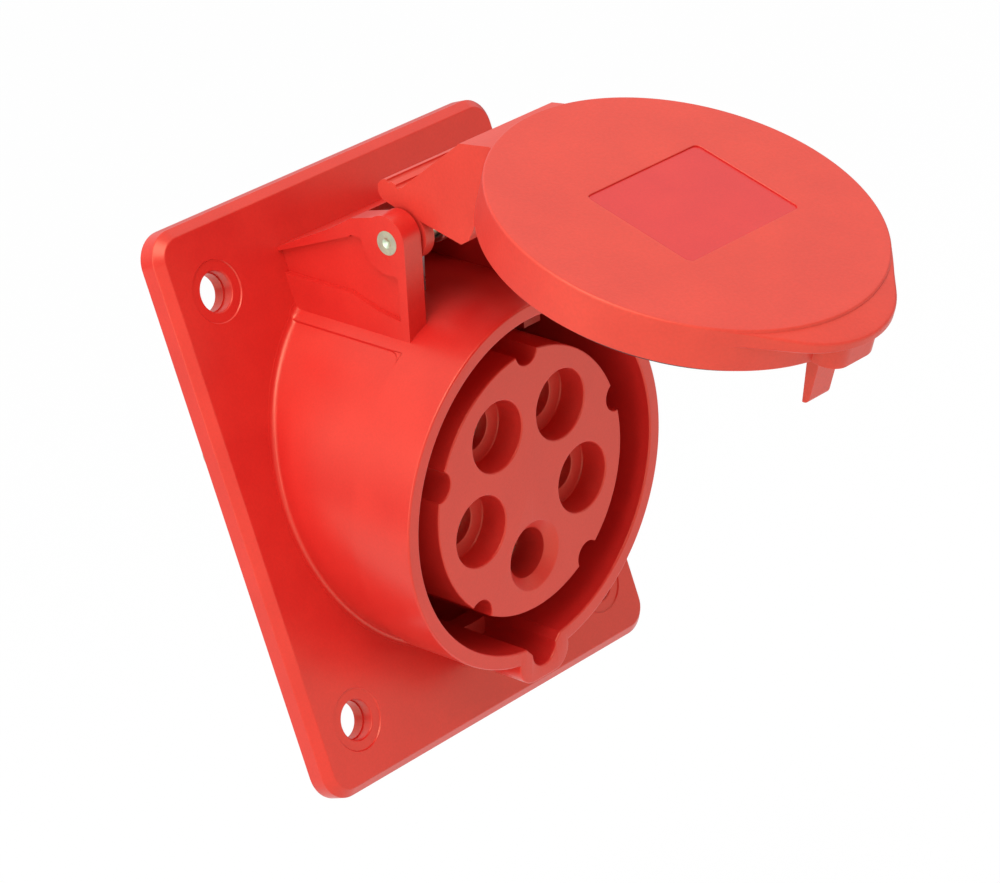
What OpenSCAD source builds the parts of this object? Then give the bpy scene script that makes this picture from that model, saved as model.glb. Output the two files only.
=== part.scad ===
// Angled panel socket, five poles, with a hinged lid. Millimetres, +Z up.
// The origin is the centre of the four mounting holes, on the flange's rear face. X runs
// along the hinge, +Y points into the panel, and the socket faces -Y and leans down.

/* [Flange] */
// Width of the flange
flange_w = 80; // [74:1:96]
// Height of the flange
flange_h = 95.5; // [90:0.5:112]
// Thickness of the flange
flange_t = 4.4; // [3.6:0.1:6]
// Chamfer around the flange's front face
flange_chamfer = 1.4; // [0.4:0.1:2]
// Radius of the flange's corners
flange_corner_r = 5; // [3:0.5:8]
// Distance between the mounting holes, across
hole_pitch_x = 60.5; // [56:0.5:62]
// Distance between the mounting holes, up
hole_pitch_z = 72.5; // [70:0.5:76]
// Height of the flange's centre above the hole pattern's
flange_rise = 0.4; // [0:0.1:1]
// Diameter of a mounting hole at the front
hole_d = 6.6; // [5:0.1:7]
// Diameter of a mounting hole at the rear
hole_rear_d = 6.2; // [4.5:0.1:6.4]
// Diameter of the shallow land around a mounting hole
land_d = 10.2; // [8.5:0.1:11]

/* [Collar] */
// Angle that the socket leans down from the panel's normal
tilt = 20; // [16:1:22]
// Height at which the socket's axis leaves the flange
axis_z = -0.14; // [-1:0.01:1]
// Outer diameter of the collar's front ring
ring_d = 62; // [61:0.1:63]
// Length of the collar's front ring
ring_len = 12; // [8:0.5:14]
// Step from the front ring down to the barrel behind it
ring_step = 0.4; // [0.2:0.1:0.8]
// Bore of the collar
bore_d = 57; // [56:0.1:57.6]
// Distance from the flange's front to the rim, along the axis
rim_fwd = 26.2; // [25:0.1:29]
// Depth of the bore, from the rim
bore_depth = 35.7; // [33:0.1:37]
// Thickness of the bore's floor
floor_t = 3.5; // [3:0.1:4]
// Half width of the smooth pad under the hinge
pad_half_w = 17.3; // [16.5:0.1:19]

/* [Keyway] */
// Width of the keyway where it leaves the bore
key_mouth_w = 8.2; // [7.6:0.1:9]
// Radius of the keyway's round bottom
key_r = 2.9; // [2.7:0.1:3.2]
// Distance from the axis to the keyway's bottom
key_reach = 32.4; // [31.8:0.1:32.6]
// Depth of the keyway, from the rim
key_depth = 32; // [28:0.5:33]
// Width of the rib outside the keyway
rib_w = 12; // [10:0.5:13]
// Corner radius of the rib
rib_corner_r = 3.5; // [2:0.1:4.5]
// Distance from the axis to the rib's outside
rib_reach = 34.7; // [34.2:0.1:35]
// Width of the rib behind the flange
rear_rib_w = 9; // [8:0.5:10]

/* [Insert] */
// Diameter of the insert
insert_d = 45; // [43:0.5:46]
// How far the insert's face lies behind the rim
insert_setback = 1.3; // [0.8:0.1:2]
// Diameter of the circle of contacts
contact_circle_d = 26.3; // [25.6:0.1:27]
// Diameter of a contact hole at its mouth
mouth_d = 11.84; // [11:0.02:12.2]
// Depth of a line contact's mouth
mouth_depth = 5; // [3:0.5:6]
// Diameter of a line contact's hole behind its mouth
line_hole_d = 7.5; // [6.8:0.1:7.8]
// Diameter of the earth contact's hole
earth_hole_d = 8.5; // [8:0.1:9.2]
// Depth of the cone that leads into the earth hole
earth_lead = 1.6; // [1:0.1:2.5]
// Radius of a notch in the insert's edge
notch_r = 2.6; // [2:0.1:2.8]
// Depth of a notch in the insert's edge
notch_depth = 14; // [8:1:20]
// Diameter of the post behind the insert's face, which its screw grips
post_d = 11; // [8:0.5:13]
// Thickness of the wall of the barrel around the contacts
barrel_wall = 3.6; // [3:0.1:3.6]
// Diameter of the plate behind the insert
seat_d = 54.8; // [53.6:0.1:55.2]
// Thickness of the plate behind the insert
seat_t = 3; // [2.5:0.1:3.5]

/* [Contacts] */
// Diameter of a line pin that the sleeves take
line_pin_d = 5; // [4.8:0.1:5.4]
// Diameter of the earth pin that the sleeve takes
earth_pin_d = 7; // [6.6:0.1:7.2]
// Wall of a contact sleeve
sleeve_wall = 1.3; // [1:0.1:1.5]
// Distance from the insert's face to a sleeve's mouth
sleeve_setback = 7.4; // [7:0.1:9]
// Depth of the pin's bore in a sleeve
pin_depth = 29; // [26:0.5:30]
// Width of the slits in a sleeve
slit_w = 0.6; // [0.4:0.1:0.8]
// Length of the slits in a sleeve
slit_len = 16; // [12:1:20]
// Diameter of a contact's terminal barrel
barrel_d = 8.4; // [8:0.1:9]
// Diameter of the wire hole in a barrel
wire_d = 4.2; // [3.6:0.1:4.6]
// Length of a barrel behind the terminal block
barrel_proud = 5.5; // [3:0.5:6]
// Diameter of a terminal screw
terminal_screw_d = 3.2; // [2.8:0.1:3.6]
// Diameter of a terminal screw's head
terminal_head_d = 4.8; // [4.4:0.1:5.2]
// Radial thickness of a spring ring
spring_ring_t = 0.7; // [0.5:0.1:0.8]
// Length of a spring ring
spring_ring_len = 5; // [3:0.5:7]

/* [Terminal block] */
// Diameter of the terminal block
block_d = 39; // [38:0.5:40]
// Thickness of the terminal block
block_t = 11; // [10:0.5:12]
// Diameter of the screws that hold the insert and the block
fixing_d = 2.6; // [2.2:0.1:3]
// Diameter of those screws' heads
fixing_head_d = 4.4; // [4:0.1:4.8]
// Thickness of those screws' heads
fixing_head_t = 1.6; // [1.2:0.1:2]
// Radius at which the insert's screws stand
fixing_circle_r = 24.9; // [24.6:0.1:25]

/* [Hinge] */
// Distance from the socket's axis to the hinge pin
pin_up = 42.75; // [42:0.05:43.5]
// Distance from the flange's front to the hinge pin, along the axis
pin_fwd = 10.54; // [10:0.01:11]
// Diameter of the hinge pin
pin_d = 4; // [3.5:0.1:4.5]
// Distance between the outer faces of the two ears
ears_w = 31; // [30:0.5:33]
// Thickness of an ear
ear_t = 4; // [3:0.1:4.4]
// Radius of an ear's round nose
ear_nose_r = 4.05; // [3.8:0.05:4.3]
// Depth of the recess in an ear's outer face
ear_recess = 0.9; // [0.4:0.1:1.4]
// Radius of the boss left around the pin in that recess
ear_boss_r = 5.4; // [5:0.1:5.8]
// Thickness of the roof between the ears
roof_t = 2.2; // [1.8:0.1:3]

/* [Lid] */
// Angle at which the lid stands open
open_angle = 73.2; // [0:0.1:95]
// Outer diameter of the lid's skirt
lid_d = 62.6; // [62:0.1:63]
// How far the lid sits off the socket's axis, toward the hinge
lid_offset = 0.5; // [0:0.1:0.7]
// Height of the lid's top above the rim when it is shut
lid_top = 9; // [8.6:0.05:9.6]
// Height of the skirt's lower edge above the rim when the lid is shut
skirt_gap = 1.7; // [1.5:0.1:2.2]
// Thickness of the skirt
skirt_t = 2; // [1.8:0.1:2.4]
// Thickness of the lid's plate
plate_t = 2.2; // [1.8:0.1:2.6]
// Chamfer around the lid's top
lid_chamfer = 0.5; // [0.2:0.1:0.8]
// Radius of the finger lip's round front
lip_r = 18; // [16:0.5:19]
// Distance from the lid's centre to the finger lip's edge
lip_reach = 36; // [35:0.5:37]
// Thickness of the lip at its edge
lip_t = 1.5; // [1:0.1:2]
// Width of the bare label field
label_w = 26.7; // [20:0.1:28]
// Height of the bare label field
label_h = 20.5; // [16:0.1:22]
// Depth of the bare label field
label_depth = 0.25; // [0.1:0.05:0.5]
// Half width of the lid's hinge arm
arm_half_w = 11; // [10:0.1:11.2]
// Thickness of the arm's side walls
arm_wall = 2; // [1.6:0.1:2.4]
// Width of the latch prong
prong_w = 5.2; // [4.4:0.1:5.4]
// How far the prong reaches below the rim when the lid is shut
prong_reach = 8; // [6:0.5:10]

/* [Seals] */
// Width of the flange gasket
gasket_w = 3; // [2.4:0.1:3]
// Thickness of the flange gasket
gasket_t = 1.2; // [1:0.1:1.5]
// Inner diameter of the flange gasket
gasket_bore = 66.4; // [66:0.1:67]
// Width of the lid's sealing ring
seal_w = 4; // [3:0.1:4.2]

/* [Spring] */
// Diameter of the hinge spring's wire
wire_spring_d = 1; // [0.8:0.1:1]
// Number of turns in the hinge spring
spring_turns = 11; // [7:1:13]

/* [Hidden] */
$fn = 96;

eps = 0.01;
key_wall = 1.5;              // wall behind the keyway's bottom, behind the flange
cut = 40;                    // how far a cutting tool runs past what it cuts
seat_gap = 0.1;              // clearance of a piece that drops into its seat
soft_gap = 0.3;              // clearance between a soft piece and what passes it
ear_pin_gap = 0.02;          // the pin is pressed through the ears
lid_pin_gap = 0.06;          // the lid turns on the pin

// Where the poles stand around the axis, as the socket is seen from the front.
L1 = 198;
L2 = 126;
L3 = 54;
N = 342;
PE = 270;
POLES = [L1, L2, L3, N, PE];

// Sizes along the socket's axis, measured forward from the flange's front face.
rim_z = rim_fwd;
ring_z = rim_z - ring_len;
floor_z = rim_z - bore_depth;
rear_z = floor_z - floor_t;
seat_z = rear_z - seat_t;
block_z = seat_z - block_t;
barrel_z = block_z - barrel_proud;
face_z = rim_z - insert_setback;
sleeve_z = face_z - sleeve_setback;

// The front rib starts halfway through the flange.
rib_z = rib_reach * tan(tilt) - flange_t / 2 / cos(tilt);

// Radii.
ring_r = ring_d / 2;
collar_r = ring_r - ring_step;
bore_r = bore_d / 2;
insert_r = insert_d / 2;
contact_r = contact_circle_d / 2;
lid_r = lid_d / 2;

// Contacts.
shoulder_t = 2;              // the collar that traps a contact between insert and block
shoulder_step = 1.5;         // how far that collar stands out from the sleeve
mouth_cone = 0.4;            // fall of the shoulder at the bottom of a line contact's mouth
notch_inset = 0.4;           // how far outside the insert's edge a notch is centred
ring_pos = 2.5;              // from a sleeve's mouth back to its spring ring
terminal_head_t = 2;
screw_slot_w = 0.8;
screw_slot_d = 0.9;
insert_fixings = [30, 150, 270];
fixing_end = 0.8;            // wall left in front of an insert screw's tip
block_fixing_len = 10;       // how far the block's screw runs past the block

// Hinge: places given as [distance from the axis, distance from the flange's front].
pin_r = pin_d / 2;
ear_in = ears_w / 2 - ear_t;
nose = [pin_up + 0.35, pin_fwd - 0.44];
roof_front = [pin_up + 2.5, pin_fwd - 7.34];
roof_knee = [pin_up - 0.15, pin_fwd - 11.74];
roof_root = [pin_up - 6.75, pin_fwd - 25.04];
root_low = [20, floor_z];

// Lid: places given as [distance from the pin toward the tip, distance out from the pin].
lid_centre = pin_up - lid_offset;
rim_n = rim_z - pin_fwd;
top_n = rim_n + lid_top;
skirt_n = rim_n + skirt_gap;
seal_n = skirt_n + 2.55;
plate_n = top_n - plate_t;
lip_n = top_n - 2 * lip_t;
lip_crease_r = lid_r - 2;    // the lip's top falls away from here, to its thickness at its edge
tail_low = 3.3;
tail_top = 7.1;
tail_end = -7.2;
hub_r = 4.2;
crest = [6.4, top_n - 4.25];
shoulder = [11.85, top_n - 1.85];
tongue = [[10.7, 4.2], [11.9, 5.6], [12.4, 7.8]];
seal_out = lid_r - skirt_t - seat_gap;
prong_out = 30.1;
prong_root_t = 3.1;
prong_tip_t = 1.1;
label_at = [-2.45, -0.9];    // seen in the lid's own frame
label_corner_r = 1;
groove_w = 0.9;
groove_pitch = 1.9;

// Flange gasket: it is centred on the barrel where that passes the panel's face.
gasket_z = axis_z + flange_t * tan(tilt);
gasket_r = gasket_bore / 2;
key_bump_r = 5.5;
key_bump_at = gasket_r - 1.7;

spring_r = pin_r + 0.25 + wire_spring_d / 2;
spring_pitch = wire_spring_d * 0.95;

// ---- frames ----

// Places its children in the socket's own frame: z out along the axis, y up, x across.
module on_axis() {
    translate([0, -flange_t, axis_z]) rotate([90 + tilt, 0, 0]) children();
}

// Places its children in the lid's frame: x along the pin, y toward the tip, z outward.
module on_lid() {
    on_axis() translate([0, pin_up, pin_fwd]) rotate([-open_angle, 0, 0]) rotate([0, 0, 180])
        children();
}

// Extrudes an outline drawn in y and z along x, centred.
module across(w) {
    translate([-w / 2, 0, 0]) rotate([90, 0, 90]) linear_extrude(w) children();
}

// Extrudes an outline drawn in x and z back from the flange's front side, by t.
module upright(t) {
    rotate([90, 0, 0]) linear_extrude(t) children();
}

// Repeats its children around the axis at the given angle and radius.
module at_pole(angle, r = contact_r) {
    rotate([0, 0, angle]) translate([r, 0, 0]) children();
}

// A tube section or rod along z between two heights.
module rod(r, z0, z1) {
    translate([0, 0, z0]) cylinder(r = r, h = z1 - z0);
}

// ---- outlines ----

module rounded_rect(w, h, r) {
    square([w - 2 * r, h], center = true);
    square([w, h - 2 * r], center = true);
    for (x = [-1, 1], y = [-1, 1])
        translate([x * (w / 2 - r), y * (h / 2 - r)]) circle(r);
}

// The rib at the bottom of the collar and at the lid's tip, reaching out along +y.
module rib_outline(w, r, reach) {
    translate([-w / 2, 0]) square([w, reach - r]);
    translate([r - w / 2, 0]) square([w - 2 * r, reach]);
    for (side = [-1, 1]) translate([side * (w / 2 - r), reach - r]) circle(r);
}

// The keyway: a tapered mouth that ends in a round bottom, reaching out along +y.
module keyway_outline() {
    throat = key_reach - key_r;
    polygon([
        [-key_mouth_w / 2, bore_r - 1.2], [key_mouth_w / 2, bore_r - 1.2],
        [key_mouth_w / 2, bore_r - 0.2], [key_r, throat], [-key_r, throat],
        [-key_mouth_w / 2, bore_r - 0.2],
    ]);
    translate([0, throat]) circle(key_r);
}

module gasket_outline(r, bump) {
    circle(r);
    translate([0, -key_bump_at]) circle(bump);
}

// ---- housing ----

module flange_plate() {
    side_t = flange_t - flange_chamfer;
    inset = 2 * flange_chamfer;
    upright(side_t) rounded_rect(flange_w, flange_h, flange_corner_r);
    hull() {
        translate([0, eps - side_t, 0]) upright(eps)
            rounded_rect(flange_w, flange_h, flange_corner_r, $fn = 32);
        translate([0, eps - flange_t, 0]) upright(eps)
            rounded_rect(flange_w - inset, flange_h - inset, flange_corner_r - flange_chamfer,
                $fn = 32);
    }
}

module flange() {
    difference() {
        translate([0, 0, flange_rise]) flange_plate();
        translate([0, 0, gasket_z]) rotate([90, 0, 0]) linear_extrude(gasket_t)
            gasket_outline(gasket_r + gasket_w, key_bump_r + gasket_w);
        mounting_holes();
    }
}

module mounting_holes() {
    land_t = 0.2;
    for (x = [-1, 1], z = [-1, 1])
        translate([x * hole_pitch_x / 2, 0, z * hole_pitch_z / 2]) rotate([90, 0, 0]) {
            rod(hole_rear_d / 2, -eps, flange_t + eps);
            rod(hole_d / 2, flange_t / 2, flange_t + eps);
            rod(land_d / 2, flange_t - land_t, flange_t + eps);
        }
}

module collar() {
    rod(collar_r, rear_z, rim_z);
    rod(ring_r, ring_z, rim_z);
    intersection() {
        rod(ring_r, rear_z, ring_z + eps);
        translate([-pad_half_w, 0, rear_z]) cube([2 * pad_half_w, 2 * ring_r, ring_z - rear_z + eps]);
    }
    rotate([0, 0, 180]) {
        translate([0, 0, rib_z]) linear_extrude(rim_z - rib_z)
            rib_outline(rib_w, rib_corner_r, rib_reach);
        translate([0, 0, rear_z]) linear_extrude(rim_z - rear_z)
            rib_outline(rear_rib_w, rib_corner_r, key_reach + key_wall);
    }
}

// Both ears and the roof, as one outline each, drawn in [y, z].
module ear_outline() {
    front_low = [root_low[0], nose[1] + ear_nose_r + 0.4];
    polygon([
        roof_root, roof_knee, roof_front, nose + ear_nose_r * [cos(35), -sin(35)],
        nose, nose + ear_nose_r * [0, 1], front_low, root_low,
    ]);
    translate(nose) circle(ear_nose_r);
}

module roof_outline() {
    polygon([
        roof_root, roof_knee, roof_front, roof_front - [roof_t, 0],
        roof_knee - [roof_t, 0], roof_root - [roof_t, 0],
    ]);
}

module ear_recess_outline() {
    low = pin_up - 10.25;
    difference() {
        polygon([
            [pin_up - 4.95, pin_fwd - 17.74], [pin_up - 0.45, pin_fwd - 7.54],
            [pin_up - 0.45, pin_fwd], [pin_up - 5, pin_fwd + 1], [pin_up - 5.75, pin_fwd + 2],
            [pin_up - 12.75, pin_fwd + 2.1], [low - 1.7, pin_fwd - 2.9], [low, pin_fwd - 8.3],
            [low, pin_fwd - 18.6],
        ]);
        translate([pin_up, pin_fwd]) circle(ear_boss_r);
    }
}

module ears() {
    for (side = [-1, 1]) translate([side * (ears_w - ear_t) / 2, 0, 0]) across(ear_t) ear_outline();
    across(ears_w - ear_t) roof_outline();
}

module housing() {
    color("crimson") difference() {
        union() {
            flange();
            on_axis() {
                collar();
                ears();
            }
        }
        on_axis() {
            rod(bore_r, floor_z, rim_z + cut);
            rod(insert_r + seat_gap, rear_z - cut, floor_z + eps);
            rod(seat_d / 2 + 0.4, rear_z - cut, rear_z);
            rotate([0, 0, 180]) translate([0, 0, rim_z - key_depth]) linear_extrude(key_depth + cut)
                keyway_outline();
            translate([0, pin_up, pin_fwd]) rotate([0, 90, 0])
                rod(pin_r + ear_pin_gap, -ears_w, ears_w);
            for (side = [-1, 1]) translate([side * ears_w / 2, 0, 0])
                across(2 * ear_recess) ear_recess_outline();
            for (angle = insert_fixings) at_pole(angle, fixing_circle_r)
                rod(fixing_d / 2 + ear_pin_gap, rear_z - eps, floor_z - fixing_end);
        }
    }
}

module flange_gasket() {
    color("dimgray") translate([0, 0, gasket_z]) rotate([90, 0, 0]) linear_extrude(gasket_t)
        difference() {
            gasket_outline(gasket_r + gasket_w - seat_gap, key_bump_r + gasket_w - seat_gap);
            gasket_outline(gasket_r, key_bump_r);
        }
}

// ---- insert and block ----

function is_earth(angle) = angle == PE;
function pin_of(angle) = is_earth(angle) ? earth_pin_d : line_pin_d;
function sleeve_of(angle) = pin_of(angle) / 2 + sleeve_wall;

module contact_hole(angle) {
    hole_r = (is_earth(angle) ? earth_hole_d : line_hole_d) / 2;
    rod(hole_r, sleeve_z - eps, face_z + eps);
    if (is_earth(angle)) {
        translate([0, 0, face_z - earth_lead])
            cylinder(r1 = hole_r, r2 = mouth_d / 2, h = earth_lead + eps);
    } else {
        rod(mouth_d / 2, face_z - mouth_depth, face_z + eps);
        translate([0, 0, face_z - mouth_depth - mouth_cone])
            cylinder(r1 = hole_r, r2 = mouth_d / 2, h = mouth_cone + eps);
    }
}

module edge_notches() {
    for (angle = POLES) at_pole(angle + 36, insert_r + notch_inset)
        rod(notch_r, face_z - notch_depth, face_z + eps);
}

// The insert's face, which holds the contacts in from the front, and its central post.
module contact_insert() {
    color("crimson") on_axis() difference() {
        union() {
            rod(insert_r, sleeve_z, face_z);
            rod(post_d / 2, rear_z, sleeve_z + eps);
        }
        for (angle = POLES) at_pole(angle) contact_hole(angle);
        edge_notches();
        rod(fixing_d / 2 + ear_pin_gap, rear_z - eps, seat_z + block_fixing_len);
    }
}

// The barrel around the contacts, clamped between the insert's face and the seat behind it.
module insert_barrel() {
    color("crimson") on_axis() difference() {
        rod(insert_r, rear_z, sleeve_z);
        rod(insert_r - barrel_wall, rear_z - eps, sleeve_z + eps);
        edge_notches();
    }
}

// The plate behind the insert, screwed to the bore's floor from behind.
module insert_seat() {
    color("crimson") on_axis() difference() {
        rod(seat_d / 2, seat_z, rear_z);
        for (angle = POLES) at_pole(angle) {
            rod(sleeve_of(angle) + seat_gap, seat_z - eps, rear_z + eps);
            rod(sleeve_of(angle) + shoulder_step + seat_gap, seat_z - eps, seat_z + shoulder_t);
        }
        for (angle = insert_fixings) at_pole(angle, fixing_circle_r)
            rod(fixing_d / 2 + seat_gap, seat_z - eps, rear_z + eps);
        rod(fixing_d / 2 + seat_gap, seat_z - eps, rear_z + eps);
    }
}

module terminal_block() {
    screw_z = block_z + block_t / 2;
    color("gray") on_axis() difference() {
        rod(block_d / 2, block_z, seat_z);
        for (angle = POLES) at_pole(angle) {
            rod(barrel_d / 2 + seat_gap, block_z - eps, seat_z + eps);
            translate([0, 0, screw_z]) rotate([0, 90, 0]) rod(terminal_head_d / 2 + soft_gap, 0, cut);
        }
        rod(fixing_d / 2 + seat_gap, block_z - eps, seat_z + eps);
    }
}

// A pan-head screw that points along +z, its head's seat at z = 0, with a slot.
module screw(d, len, head_d, head_t) {
    difference() {
        union() {
            rod(d / 2, -eps, len);
            rod(head_d / 2, -head_t, 0);
        }
        translate([-head_d, -screw_slot_w / 2, -head_t - eps])
            cube([2 * head_d, screw_slot_w, screw_slot_d + eps]);
    }
}

module insert_screws() {
    color("silver") on_axis() for (angle = insert_fixings) at_pole(angle, fixing_circle_r)
        translate([0, 0, seat_z])
            screw(fixing_d, seat_t + floor_t - fixing_end - seat_gap, fixing_head_d, fixing_head_t);
}

module block_screw() {
    color("silver") on_axis() translate([0, 0, block_z])
        screw(fixing_d, block_t + block_fixing_len - seat_gap, fixing_head_d, fixing_head_t);
}

// ---- contacts ----

module contact(angle) {
    sleeve_r = sleeve_of(angle);
    screw_z = block_z + block_t / 2;
    lead = 0.4;
    color("darkkhaki") on_axis() at_pole(angle) difference() {
        union() {
            rod(sleeve_r, seat_z + shoulder_t - eps, sleeve_z);
            rod(sleeve_r + shoulder_step, seat_z, seat_z + shoulder_t);
            rod(barrel_d / 2, barrel_z, seat_z + eps);
        }
        rod(pin_of(angle) / 2, sleeve_z - pin_depth, sleeve_z + eps);
        translate([0, 0, sleeve_z - lead])
            cylinder(r1 = pin_of(angle) / 2, r2 = pin_of(angle) / 2 + lead, h = lead + eps);
        for (turn = [0, 90]) rotate([0, 0, turn])
            translate([-sleeve_r - 1, -slit_w / 2, sleeve_z - slit_len])
                cube([2 * sleeve_r + 2, slit_w, slit_len + 1]);
        rod(wire_d / 2, barrel_z - eps, screw_z + terminal_screw_d);
        translate([0, 0, screw_z]) rotate([0, 90, 0])
            rod(terminal_screw_d / 2 + ear_pin_gap, 0, barrel_d);
    }
}

module spring_ring(angle) {
    inner = sleeve_of(angle) + seat_gap / 2;
    color("lightgray") on_axis() at_pole(angle) difference() {
        rod(inner + spring_ring_t, sleeve_z - ring_pos - spring_ring_len, sleeve_z - ring_pos);
        rod(inner, sleeve_z - ring_pos - spring_ring_len - 1, sleeve_z);
    }
}

module terminal_screw(angle) {
    tip = wire_d / 2 - 0.5;
    seat = barrel_d / 2 + seat_gap;
    color("silver") on_axis() at_pole(angle) translate([seat, 0, block_z + block_t / 2])
        rotate([0, -90, 0])
            screw(terminal_screw_d, seat - tip, terminal_head_d, terminal_head_t);
}

// ---- hinge ----

module hinge_pin() {
    dimple_r = 0.9;
    color("silver") on_axis() translate([0, pin_up, pin_fwd]) rotate([0, 90, 0]) difference() {
        rod(pin_r, -ears_w / 2, ears_w / 2);
        for (side = [0, 180]) rotate([side, 0, 0]) translate([0, 0, ears_w / 2 - dimple_r / 2])
            cylinder(r1 = 0, r2 = dimple_r, h = dimple_r / 2 + eps);
    }
}

// A torsion spring: close-wound turns on the pin, one leg down on the collar, one under the tail.
module hinge_spring() {
    end = spring_pitch * (spring_turns - 1) / 2;
    wire_r = wire_spring_d / 2;
    drop = pin_up - sqrt(ring_r * ring_r - end * end) - 0.05;
    color("lightgray") {
        on_axis() translate([0, pin_up, pin_fwd]) {
            for (i = [0 : spring_turns - 1]) translate([i * spring_pitch - end, 0, 0])
                rotate([0, 90, 0]) rotate_extrude() translate([spring_r, 0]) circle(wire_r, $fn = 24);
            translate([-end, 0, -spring_r]) rotate([90, 0, 0]) cylinder(r = wire_r, h = drop, $fn = 24);
        }
        on_lid() translate([-end, 0, tail_low - 0.05 - wire_r]) rotate([90, 0, 0])
            cylinder(r = wire_r, h = -tail_end - 0.8, $fn = 24);
    }
}

// ---- lid ----

// The lid's plan: the round cap and the finger lip that grows out of it toward the tip.
module lip_outline() {
    base_r = lid_r - 0.3;
    lean = acos((base_r - lip_r) / (lip_reach - lip_r));
    across_big = base_r * sin(lean);
    along_big = base_r * cos(lean);
    across_small = lip_r * sin(lean);
    along_small = lip_reach - lip_r + lip_r * cos(lean);
    polygon([
        [-across_big, along_big], [-across_small, along_small],
        [across_small, along_small], [across_big, along_big],
    ]);
    translate([0, lip_reach - lip_r]) circle(lip_r);
}

module lid_cap() {
    translate([0, lid_centre, 0]) {
        rod(lid_r, skirt_n, top_n - lid_chamfer);
        translate([0, 0, top_n - lid_chamfer])
            cylinder(r1 = lid_r, r2 = lid_r - lid_chamfer, h = lid_chamfer);
        intersection() {
            translate([0, 0, lip_n]) linear_extrude(top_n - lip_n) lip_outline();
            translate([0, 0, lip_n])
                cylinder(r1 = 2 * lip_reach - lip_crease_r, r2 = lip_crease_r, h = top_n - lip_n);
        }
        translate([0, 0, skirt_n]) linear_extrude(lip_n - skirt_n + eps)
            rib_outline(rib_w, rib_corner_r, rib_reach);
    }
}

module arm_side_outline() {
    polygon([
        [tail_end + 2.8, tail_low], [-2.7, tail_top], crest, shoulder,
        [shoulder[0] + 2, shoulder[1]], [shoulder[0] + 2, skirt_n + 1], [tongue[2][0], skirt_n],
        tongue[2], tongue[1], tongue[0],
    ]);
    circle(hub_r);
}

module arm_skin_outline() {
    t = 2;
    polygon([
        [-2.7, tail_top], crest, shoulder, [shoulder[0] + 2, shoulder[1]],
        [shoulder[0] + 2, shoulder[1] - t], [crest[0] + 1.2, crest[1] - t],
        [0.2, tail_top - 0.6], [0.2, tail_low], [tail_end + 2.8, tail_low],
    ]);
}

module tail_outline() {
    r = (tail_top - tail_low) / 2;
    translate([tail_end + r, tail_low]) square([-tail_end - r, 2 * r]);
    translate([tail_end + r, tail_low + r]) circle(r);
}

module lid_arm() {
    for (side = [-1, 1]) translate([side * (arm_half_w - arm_wall / 2), 0, 0])
        across(arm_wall) arm_side_outline();
    across(2 * arm_half_w) {
        arm_skin_outline();
        tail_outline();
    }
}

module prong() {
    tip_n = rim_n - prong_reach;
    tip_corner = 1;
    translate([0, lid_centre, 0]) across(prong_w) {
        polygon([
            [prong_out - prong_root_t, seal_n + 1], [prong_out, seal_n + 1],
            [prong_out, tip_n + tip_corner], [prong_out - tip_corner, tip_n + tip_corner],
            [prong_out - tip_corner, tip_n], [prong_out - prong_tip_t, tip_n],
        ]);
        translate([prong_out - tip_corner, tip_n + tip_corner]) circle(tip_corner);
    }
}

module lid() {
    color("crimson") on_lid() difference() {
        union() {
            lid_cap();
            lid_arm();
            prong();
        }
        translate([0, lid_centre, 0]) difference() {
            union() {
                rod(lid_r - skirt_t, skirt_n - eps, seal_n);
                rod(seal_out - seal_w, seal_n - eps, plate_n);
            }
            translate([-prong_w / 2, prong_out - prong_root_t, skirt_n - 1])
                cube([prong_w, prong_root_t, seal_n]);
        }
        translate([label_at[0], lid_centre + label_at[1], top_n - label_depth])
            linear_extrude(1) rounded_rect(label_w, label_h, label_corner_r);
        rotate([0, 90, 0]) rod(pin_r + lid_pin_gap, -cut, cut);
        for (i = [0, 1]) translate([0, tail_end + 1.9 + i * groove_pitch, tail_top])
            rotate([0, 90, 0]) rod(groove_w / 2, -arm_half_w - 1, arm_half_w + 1);
    }
}

module lid_gasket() {
    color("dimgray") on_lid() translate([0, lid_centre, 0]) difference() {
        rod(seal_out, rim_n + soft_gap, seal_n);
        rod(seal_out - seal_w, rim_n, seal_n + 1);
        translate([-prong_w / 2 - soft_gap, prong_out - prong_root_t - soft_gap, rim_n - 1])
            cube([prong_w + 2 * soft_gap, cut, cut]);
    }
}

housing();
flange_gasket();
contact_insert();
insert_barrel();
insert_seat();
insert_screws();
terminal_block();
block_screw();
contact(L1);  // contact_l1
contact(L2);  // contact_l2
contact(L3);  // contact_l3
contact(N);  // contact_n
contact(PE);  // contact_pe
spring_ring(L1);  // spring_ring_l1
spring_ring(L2);  // spring_ring_l2
spring_ring(L3);  // spring_ring_l3
spring_ring(N);  // spring_ring_n
spring_ring(PE);  // spring_ring_pe
terminal_screw(L1);  // terminal_screw_l1
terminal_screw(L2);  // terminal_screw_l2
terminal_screw(L3);  // terminal_screw_l3
terminal_screw(N);  // terminal_screw_n
terminal_screw(PE);  // terminal_screw_pe
hinge_pin();
hinge_spring();
lid();
lid_gasket();
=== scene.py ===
"""Looks of an angled, five-pole panel socket with its hinged lid standing open.

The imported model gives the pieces, their places and the hinge. This script builds the moulded
pieces again with their true edge radii, gives every piece its finish, and sets the light and
camera. Pieces are shaped in millimetres and leave in metres.
"""

import logging
import math
from dataclasses import dataclass, field
from enum import Enum
from typing import Callable, Optional, Sequence

import bmesh
import bpy
from mathutils import Matrix, Vector


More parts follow.
